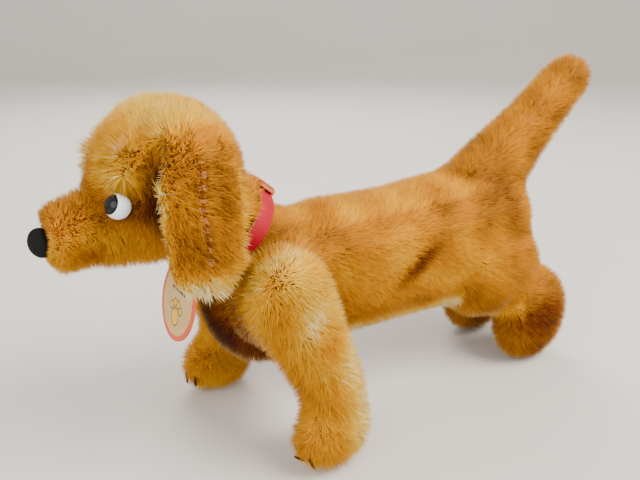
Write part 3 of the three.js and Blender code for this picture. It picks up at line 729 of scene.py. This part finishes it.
def head_rule(p, n):
    x, y, z = p.T / MM
    side = np.abs(x)
    height = HEAD_PILE * by_the_strap(p) * (1 - at_joints(p, n))
    to_eye = np.minimum(*[np.linalg.norm(p - np.array(eye), axis=1) / MM for eye in EYE.values()])
    above_eye = ease(z - EYE["left"].z / MM, 1.0, 3.5)
    height *= np.maximum(0.3 + 0.7 * ease(to_eye, 4.2, 8.0), 0.9 * above_eye)
    to_nose = np.linalg.norm(p / MM - np.array(NOSE_PAD) / MM, axis=1)
    height *= 0.3 + 0.7 * ease(to_nose, 4.0, 20)
    height *= (to_eye > 3.7) & (to_nose > 3.6)
    brow = near(p, (0, -0.0925, 0.104), (0.03, 0.006, 0.007)) * (side > 4)
    height *= 1 + 0.35 * brow
    # The gusset's seam runs over the forehead, where the pile parts along bare threads.
    seam = side - GUSSET_HALF_WIDTH / MM + 0.5 * np.sin(y / 1.7)
    sewn = ease(z, 97, 101) * ease(-y, 60, 66) * (1 - 0.6 * ease(z, 107, 114))
    parted = np.exp(-((seam / 2.6) ** 2)) * sewn
    bare = (np.abs(seam) < SEAM_HALF_WIDTH) & (sewn > 0.3)
    height *= 1 - 0.45 * bare * sewn
    lay = np.tile([0.0, 0.08, -0.05], (len(p), 1))
    lay[:, 0] += np.sign(x) * np.sign(seam) * parted * 0.6 * ~bare
    lay[:, 2] -= 0.35 * brow + 1.1 * above_eye * np.exp(-((to_eye / 6) ** 2))
    tone = 2.8 + 0.25 * SHADE(p) + 0.12 * FLECK(p)
    # Painted highlight: paler on the crown and on the brow ridge, where the light falls.
    tone += 1.9 * ease(z, 102, 116) + 2.2 * brow
    tone += 0.9 * ease(92 - z, 0, 8)
    tone -= 0.7 * near(p, (0, -0.098, 0.095), (0.014, 0.012, 0.006))
    tone += 1.6 * ease(78 - z, 0, 6)
    # Painted shade round the eyes' sockets, darker behind the eyes, and a dark line along the mouth.
    tone -= 1.7 * np.exp(-((to_eye / 7) ** 2)) * (1 - above_eye)
    for sign in SIDES.values():
        tone -= 2.6 * near(p, (sign * 0.018, -0.079, 0.092), (0.008, 0.005, 0.011))
        tone -= 1.8 * near(p, (sign * 0.007, -0.098, 0.0795), (0.005, 0.005, 0.0018))
    tone -= 2.5 * parted * (FLECK(p) > 0.7) * ease(-y, 82, 88)
    return height, lay, np.where(bare & (TUFT[0](p) > -0.2), PEACH + 1, tone)


def leg_rule(word):
    sign = SIDES[word]
    shoulder = np.array(SHOULDER[word])
    claws = [middle(f"claw_{word}_{k}") for k in (1, 2, 3)]

    def rule(p, n):
        y, z = p.T[1:] / MM
        inside = (p[:, 0] - shoulder[0]) * sign < 4.5 * MM
        height = LEG_PILE * (1 - JOINT_TRIM * at_joints(p, n))
        height *= 1 - 0.5 * ease(6 - z, 0, 5)
        for claw in claws:
            height *= 1 - 0.45 * near(p, claw, (0.0011, 0.004, 0.0035))
        lay = np.tile([0.0, 0.03, -0.20], (len(p), 1))
        tone = 3.6 + 0.3 * SHADE(p) + 0.12 * FLECK(p)
        tone += 1.2 * ease(z, 56, 72)
        tone -= 0.5 * near(p, (shoulder[0], shoulder[1] - 0.004, 0.034), (0.03, 0.012, 0.013))
        # Painted light: a pale rim up the back of the leg, lit from behind.
        tone += 1.7 * ease(y, shoulder[1] / MM + 9, shoulder[1] / MM + 17)
        tone += 1.2 * ease(8 - z, 0, 6)
        # Painted highlight on the shoulder's outer face.
        shoulder_highlight = (shoulder[0] + sign * 0.022, shoulder[1] + 0.003, 0.054)
        tone += 2.4 * near(p, shoulder_highlight, (0.020, 0.006, 0.007))
        # Painted shade on the leg's inner side, which faces the body.
        return height, lay, tone - 1.6 * inside

    return rule


def ear_rule(word):
    sign = SIDES[word]
    low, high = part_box(f"ear_{word}_outer")
    centre = (low + high) / 2 / MM

    def rule(p, n):
        y, z = p.T[1:] / MM
        outer = n[:, 0] * sign > -0.2
        rim = ease(np.abs(y - centre.y), 8, 12)
        foot = ease(low.z / MM + 12 - z, 0, 9)
        height = np.where(outer, EAR_PILE, EAR_LINING_PILE) * (1 + 0.18 * np.maximum(rim, foot))
        crease = np.abs(y - centre.y - 0.6 * np.sin(z / 4.0))
        bare = outer * (crease < SEAM_HALF_WIDTH) * (z > low.z / MM + 9) * (z < high.z / MM - 10)
        height = height * (1 - 0.6 * bare)
        lay = np.tile([0.0, 0.0, -0.14], (len(p), 1))
        lay[:, 1] += np.sign(y - centre.y) * 0.3 * np.exp(-((crease / 2.2) ** 2)) * outer
        lay[:, 2] += 0.4 * ease(z - high.z / MM + 8, 0, 8)
        tone = 2.7 + 0.25 * SHADE(p) + 0.15 * FLECK(p)
        # Painted light: paler at the ear's rim and foot, where the hair's ends are lit through, and
        # paler towards its top.
        tone += 3.0 * np.maximum(rim, foot) + 1.4 * ease(z, high.z / MM - 10, high.z / MM)
        # Painted shade on the lining, which faces the head.
        tone -= 1.2 * ~outer
        return height, lay, np.where(bare & (TUFT[0](p) > 0), PEACH + 1, tone)

    return rule


# ---------------------------------------------------------------- the plush


def dress(part, members, covers, voxel, rounds, room, rule, seed, density=1.0):
    """Sews one body part's skin and plants its pile."""
    skin = skin_of(f"{part}_skin", members, voxel, rounds, room, part)
    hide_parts(*covers)
    plant(f"{part}_pile", skin, rule, part, seed, density)


def dress_body():
    covers = ["body_side_left", "body_side_right", "belly_panel", "body_stuffing"]
    plugs = [f"shoulder_{w}_body_{p}" for w in SIDES for p in ("disc", "washer")]
    plugs += ["neck_body_disc", "neck_body_washer"]
    dress(
        "body", covers + plugs, covers, voxel=1.2 * MM, rounds=14, room=pile_room,
        rule=body_rule, seed=21,
    )


def dress_head():
    covers = ["head_side_left", "head_side_right", "head_gusset", "head_stuffing"]
    plugs = ["neck_head_disc", "neck_head_washer"]
    dress(
        "head", covers + plugs, covers, voxel=1.0 * MM, rounds=12, room=pile_room,
        rule=head_rule, seed=22, density=1.2,
    )


def dress_leg(word):
    part = f"leg_{word}"
    covers = [f"{part}_{p}" for p in ("outer_panel", "inner_panel", "stuffing")]
    plugs = [f"shoulder_{word}_leg_{p}" for p in ("disc", "washer")]
    dress(
        part, covers + plugs, covers, voxel=1.1 * MM, rounds=14, room=pile_room,
        rule=leg_rule(word), seed=23,
    )


def dress_ear(word):
    part = f"ear_{word}"
    covers = [f"{part}_outer", f"{part}_lining"]
    dress(
        part, covers, covers, voxel=0.6 * MM, rounds=8, room=ear_room,
        rule=ear_rule(word), seed=24, density=1.2,
    )


# ---------------------------------------------------------------- eyes, nose and claws


def make_eye(word):
    """A glass bead that stands out of the head along its shank, with a pupil that looks up."""
    way = (EYE[word] - middle(f"eye_shank_{word}")).normalized()
    centre = EYE[word] - way * EYE_SINK
    outward, forward, upward = EYE_GAZE
    pupil_way = Vector((SIDES[word] * outward, forward, upward)).normalized()
    bm = bmesh.new()
    bmesh.ops.create_uvsphere(bm, u_segments=64, v_segments=40, radius=EYE_RADIUS)
    bmesh.ops.scale(bm, vec=(1, 1, EYE_DEPTH), verts=bm.verts)
    turn = way.to_track_quat("Z", "Y").to_matrix().to_4x4()
    bmesh.ops.transform(bm, matrix=Matrix.Translation(centre) @ turn, verts=bm.verts)
    glass = eye_finish(f"eye_glass_{word}", centre, pupil_way)
    bead = piece(f"eye_bead_{word}", bm, [glass], "head")
    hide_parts(f"eye_{word}")


def make_nose():
    """A satin-stitched oval: upright threads, side by side over a padded core."""
    bm = bmesh.new()
    bmesh.ops.create_uvsphere(bm, u_segments=96, v_segments=64, radius=1.0)
    bmesh.ops.scale(bm, vec=NOSE_HALF, verts=bm.verts)
    for vert in bm.verts:
        thread = abs(math.sin(vert.co.x / NOSE_THREAD * math.pi))
        vert.co *= 1 + NOSE_RIDGE * thread
    turn = Matrix.Rotation(NOSE_TILT, 4, "X")
    bmesh.ops.transform(bm, matrix=Matrix.Translation(NOSE_PAD) @ turn, verts=bm.verts)
    nose = piece("nose_oval", bm, [BLACK_THREAD], "head")
    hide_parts("nose_stitching")


def claw_line(name):
    """A claw's middle and the way from there to its lower tip, square to X."""
    places = [v.co.copy() for v in nodes[name].data.vertices]
    centre = sum(places, Vector()) / len(places)
    axis = max((p - centre for p in places), key=lambda d: d.length)
    axis = Vector((0, axis.y, axis.z)).normalized()
    if axis.z > 0:
        axis.negate()
    return centre, axis


def make_claws(word):
    """Three claws on a paw, each two strands of thread pulled tight into the plush."""
    forward = Vector((0, -1, 0))
    for k in (1, 2, 3):
        centre, axis = claw_line(f"claw_{word}_{k}")
        outward = (forward - axis * forward.dot(axis)).normalized()
        turn = Matrix((Vector((1, 0, 0)), outward, -axis)).transposed().to_4x4()
        bm = bmesh.new()
        for strand in (-1, 1):
            shape = bmesh.ops.create_uvsphere(bm, u_segments=16, v_segments=14, radius=1.0)
            bmesh.ops.scale(bm, vec=CLAW_HALF, verts=shape["verts"])
            middle_of_strand = centre + Vector((strand * CLAW_STRAND_PITCH, 0, 0))
            place = Matrix.Translation(middle_of_strand - outward * CLAW_SINK)
            bmesh.ops.transform(bm, matrix=place @ turn, verts=shape["verts"])
        bmesh.ops.recalc_face_normals(bm, faces=bm.faces)
        claw = piece(f"claw_stitch_{word}_{k}", bm, [BLACK_THREAD], f"leg_{word}")
        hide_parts(f"claw_{word}_{k}")


# ---------------------------------------------------------------- collar and tag


SQUARE = ((-1, -1), (1, -1), (1, 1), (-1, 1))


def make_strap():
    """A ring of leatherette about the neck, with cut edges and a slight wave."""
    bm = bmesh.new()
    verts = [
        bm.verts.new((STRAP_RADIUS + a * STRAP_THICKNESS / 2, 0, b * STRAP_WIDTH / 2))
        for a, b in SQUARE
    ]
    section = [bm.edges.new((verts[k], verts[k - 1])) for k in range(4)]
    bmesh.ops.spin(
        bm, geom=section, cent=(0, 0, 0), axis=(0, 0, 1), angle=2 * math.pi, steps=96,
        use_merge=True,
    )
    bmesh.ops.remove_doubles(bm, verts=bm.verts, dist=1e-6)
    bmesh.ops.recalc_face_normals(bm, faces=bm.faces)
    for face in bm.faces:
        face.material_index = 1 if abs(face.normal.z) > 0.9 else 0
    around = [e for e in bm.edges if abs((e.verts[0].co - e.verts[1].co).z) < 1e-7]
    around = [e for e in around if len({f.material_index for f in e.link_faces}) == 2]
    bevel(bm, around, offset=0.22 * MM, segments=3)
    for vert in bm.verts:
        angle = math.atan2(vert.co.y, vert.co.x)
        wave = 1 + STRAP_WAVE * math.sin(3 * angle + 1)
        vert.co.x *= wave
        vert.co.y *= wave
    turn = NECK_AXIS.to_track_quat("Z", "Y").to_matrix().to_4x4()
    bmesh.ops.transform(bm, matrix=Matrix.Translation(COLLAR) @ turn, verts=bm.verts)
    strap = piece("strap", bm, [LEATHER, CUT_EDGE], "collar")
    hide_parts("collar_strap")


def keeper_place():
    """From the keeper's own frame, X along its opening, to its place on the collar."""
    upward = NECK_AXIS.cross(Vector((1, 0, 0))).normalized()
    turn = Matrix((Vector((1, 0, 0)), upward, NECK_AXIS)).transposed().to_4x4()
    return Matrix.Translation(middle("collar_keeper")) @ turn


def make_keeper():
    """The folded loop over the strap's end, open at both sides of the neck."""
    bm = bmesh.new()
    verts = [
        bm.verts.new((-KEEPER_LENGTH / 2, a * KEEPER_HEIGHT / 2, b * KEEPER_WIDTH / 2))
        for a, b in SQUARE
    ]
    loop = bm.faces.new(verts)
    bevel(bm, list(loop.verts), offset=0.9 * MM, segments=4, affect="VERTICES")
    face = max(bm.faces, key=lambda f: len(f.verts))
    edges = list(face.edges)
    bmesh.ops.delete(bm, geom=[face], context="FACES_ONLY")
    drawn_out(bmesh.ops.extrude_edge_only(bm, edges=edges), bm, (KEEPER_LENGTH, 0, 0))
    bmesh.ops.recalc_face_normals(bm, faces=bm.faces)
    bmesh.ops.transform(bm, matrix=keeper_place(), verts=bm.verts)
    keeper = piece("keeper", bm, [LEATHER, CUT_EDGE], "collar")
    modify(keeper, "wall", "SOLIDIFY", thickness=KEEPER_WALL, offset=1, material_offset_rim=1)
    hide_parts("collar_keeper")


def make_strap_end():
    """The strap's loose end, tucked under the keeper and flat on the strap."""
    bm = bmesh.new()
    bmesh.ops.create_cube(bm, size=1.0)
    bmesh.ops.scale(bm, vec=(KEEPER_LENGTH * 1.7, STRAP_THICKNESS, STRAP_WIDTH), verts=bm.verts)
    bmesh.ops.translate(bm, vec=(KEEPER_LENGTH * 0.1, STRAP_THICKNESS * 0.75, 0), verts=bm.verts)
    for face in bm.faces:
        face.material_index = 0 if abs(face.normal.y) > 0.9 else 1
    bevel(bm, list(bm.edges), offset=0.2 * MM, segments=2)
    bmesh.ops.transform(bm, matrix=keeper_place(), verts=bm.verts)
    bmesh.ops.recalc_face_normals(bm, faces=bm.faces)
    end = piece("strap_end", bm, [LEATHER, CUT_EDGE], "collar")


def make_tag():
    """A punched disc of card."""
    bm = bmesh.new()
    hole_height = (TAG_HOLE.z - TAG.z) / math.cos(TAG_LEAN)
    bmesh.ops.create_circle(bm, segments=96, radius=TAG_RADIUS)
    inner = bmesh.ops.create_circle(bm, segments=32, radius=TAG_HOLE_RADIUS)["verts"]
    bmesh.ops.translate(bm, vec=(0, hole_height, 0), verts=inner)
    bmesh.ops.bridge_loops(bm, edges=list(bm.edges))
    made = bmesh.ops.extrude_face_region(bm, geom=list(bm.faces))
    drawn_out(made, bm, (0, 0, TAG_THICKNESS))
    bmesh.ops.translate(bm, vec=(0, 0, -TAG_THICKNESS / 2), verts=bm.verts)
    bmesh.ops.recalc_face_normals(bm, faces=bm.faces)
    stand = Matrix.Rotation(math.pi / 2, 4, "X")
    lean = Matrix.Rotation(-TAG_LEAN, 4, "X")
    bmesh.ops.transform(bm, matrix=Matrix.Translation(TAG) @ lean @ stand, verts=bm.verts)
    tag = piece("tag_disc", bm, [CARD], "tag", smooth=False)
    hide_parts("tag_card")


def finish_hardware():
    """Gives the frame's own small parts their finishes."""
    for name, part in nodes.items():
        finish = None
        if name.endswith("_disc"):
            finish = BOARD
        elif "washer" in name or "cotter" in name or "shank" in name:
            finish = METAL
        elif name == "tag_thread":
            finish = COTTON
        if finish:
            part.data.materials.clear()
            part.data.materials.append(finish)


# ---------------------------------------------------------------- stage, light and camera


FLOOR_FRONT, FLOOR_BACK = -2.2, 1.0
SWEEP_RADIUS = 0.5
WALL_TOP = 2.5
STAGE_WIDTH = 6


def set_stage():
    """A pale floor that curves up into a pale wall."""
    bm = bmesh.new()
    line = [(FLOOR_FRONT, 0), (FLOOR_BACK, 0)]
    for a in np.linspace(0.15, math.pi / 2, 12):
        sweep_y = FLOOR_BACK + SWEEP_RADIUS * math.sin(a)
        line.append((sweep_y, SWEEP_RADIUS - SWEEP_RADIUS * math.cos(a)))
    line.append((FLOOR_BACK + SWEEP_RADIUS, WALL_TOP))
    verts = [bm.verts.new((0, y, z)) for y, z in line]
    edges = [bm.edges.new(pair) for pair in zip(verts, verts[1:])]
    drawn_out(bmesh.ops.extrude_edge_only(bm, edges=edges), bm, (STAGE_WIDTH, 0, 0))
    bmesh.ops.translate(bm, vec=(-STAGE_WIDTH / 2, 0, 0), verts=bm.verts)
    bmesh.ops.recalc_face_normals(bm, faces=bm.faces)
    turn = Matrix.Rotation(CAMERA_TURN, 4, "Z")
    bmesh.ops.transform(bm, matrix=turn, verts=bm.verts)
    piece("floor", bm, [floor_finish()], None)


def soft_light(name, place, size, watts, colour=(1, 1, 1)):
    data = bpy.data.lights.new(name, "AREA")
    data.shape = "DISK"
    data.size = size
    data.energy = watts
    data.color = colour
    light = bpy.data.objects.new(name, data)
    bpy.context.scene.collection.objects.link(light)
    light.location = place
    light.rotation_euler = (LIT_POINT - Vector(place)).to_track_quat("-Z", "Y").to_euler()


def set_camera():
    data = bpy.data.cameras.new("camera")
    data.sensor_width = 36
    data.lens = CAMERA_LENS
    data.clip_start = 0.01
    camera = bpy.data.objects.new("camera", data)
    bpy.context.scene.collection.objects.link(camera)
    camera.location = CAMERA_PLACE
    camera.rotation_euler = (math.pi / 2 - CAMERA_TILT, 0, CAMERA_TURN)
    bpy.context.scene.camera = camera


def set_light():
    world = bpy.data.worlds.new("room")
    bpy.context.scene.world = world
    world.use_nodes = True
    sky = world.node_tree.nodes["Background"]
    sky.inputs["Color"].default_value = srgb(238, 240, 244)
    sky.inputs["Strength"].default_value = 1.1
    soft_light("window", (0.55, 0.35, 0.75), size=0.7, watts=15.0, colour=(1.0, 0.98, 0.95))
    soft_light("room_fill", (0.45, -0.75, 0.45), size=0.8, watts=6.5, colour=(1.0, 0.99, 0.97))
    soft_light("back_rim", (-0.6, 0.2, 0.6), size=0.6, watts=6.0)


set_camera()
dress_body()
dress_head()
for side in ("left", "right"):
    dress_leg(side)
    dress_ear(side)
    make_eye(side)
    make_claws(side)
make_nose()
make_strap()
make_keeper()
make_strap_end()
make_tag()
finish_hardware()
set_stage()
set_light()
